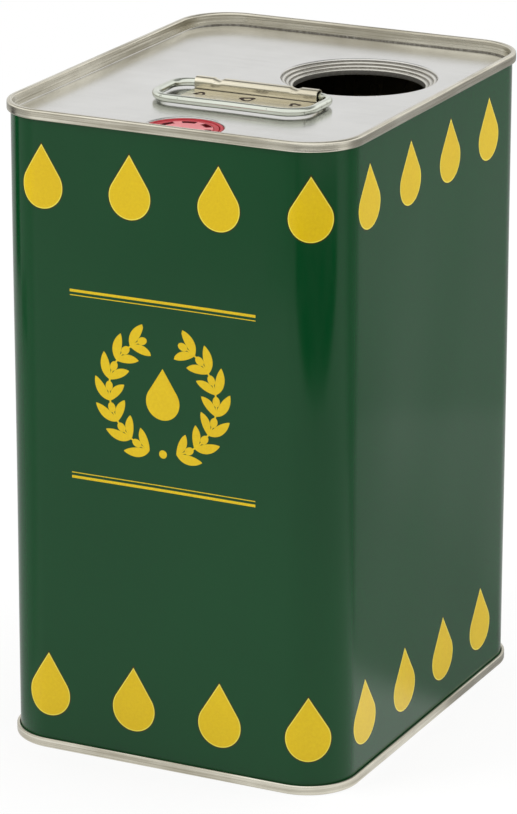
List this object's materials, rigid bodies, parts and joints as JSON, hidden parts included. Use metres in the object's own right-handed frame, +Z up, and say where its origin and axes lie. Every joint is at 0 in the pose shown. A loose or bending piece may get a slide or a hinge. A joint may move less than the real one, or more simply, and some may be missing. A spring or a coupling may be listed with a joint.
{
  "type": "oil tin with spout",
  "caption": "Rectangular printed tinplate oil tin with a folding wire handle, an open filling mouth and a pull-up plastic pouring spout.",
  "frame": {"origin": "middle of the footprint, on the surface that the tin stands on", "axes": "+Z up, -Y towards the printed front panel, +X to the right of someone who looks at that panel"},
  "size_m": [0.1164, 0.1444, 0.204],
  "materials": {
    "printed_tinplate": "glossy green printed and varnished tinplate",
    "plain_tinplate": "bare satin tinplate",
    "bracket_tinplate": "bare tinplate with rusted weld spots",
    "galvanised_wire": "bright drawn and tinned steel wire",
    "red_plastic": "moulded red polyethylene",
    "natural_plastic": "uncoloured milky polyethylene",
    "seam_compound": "sealing compound"
  },
  "bodies": {
    "tin": {"body_shell": "printed_tinplate", "top_end": "plain_tinplate", "bottom_end": "plain_tinplate", "top_seam_compound": "seam_compound", "bottom_seam_compound": "seam_compound", "handle_bracket": "bracket_tinplate", "spout_collar": "red_plastic", "spout_cone": "natural_plastic"},
    "handle": {"handle_wire": "galvanised_wire"},
    "spout": {"spout_nozzle": "natural_plastic", "nozzle_membrane": "natural_plastic", "membrane_ring": "natural_plastic"},
    "cap": {"spout_cap": "red_plastic"},
    "front_bail": {"pull_bail_front": "red_plastic"},
    "back_bail": {"pull_bail_back": "red_plastic"}
  },
  "joints": [
    {"name": "handle_swing", "type": "hinge", "parent": "tin", "child": "handle", "pos_m": [0.0022, -0.01175, 0.2018], "axis": [-1, 0, 0], "range_deg": [0, 178]},
    {"name": "spout_pull", "type": "slide", "parent": "tin", "child": "spout", "axis": [0, 0, 1], "range_m": [0, 0.023], "deforming": ["spout_cone"]},
    {"name": "cap_lift", "type": "slide", "parent": "spout", "child": "cap", "axis": [0, 0, 1], "range_m": [0, 0.026]},
    {"name": "front_bail_lift", "type": "hinge", "parent": "cap", "child": "front_bail", "pos_m": [0, -0.0573, 0.19915], "axis": [-1, 0, 0], "range_deg": [0, 90]},
    {"name": "back_bail_lift", "type": "hinge", "parent": "cap", "child": "back_bail", "pos_m": [0, -0.0559, 0.19915], "axis": [1, 0, 0], "range_deg": [0, 90]}
  ]
}
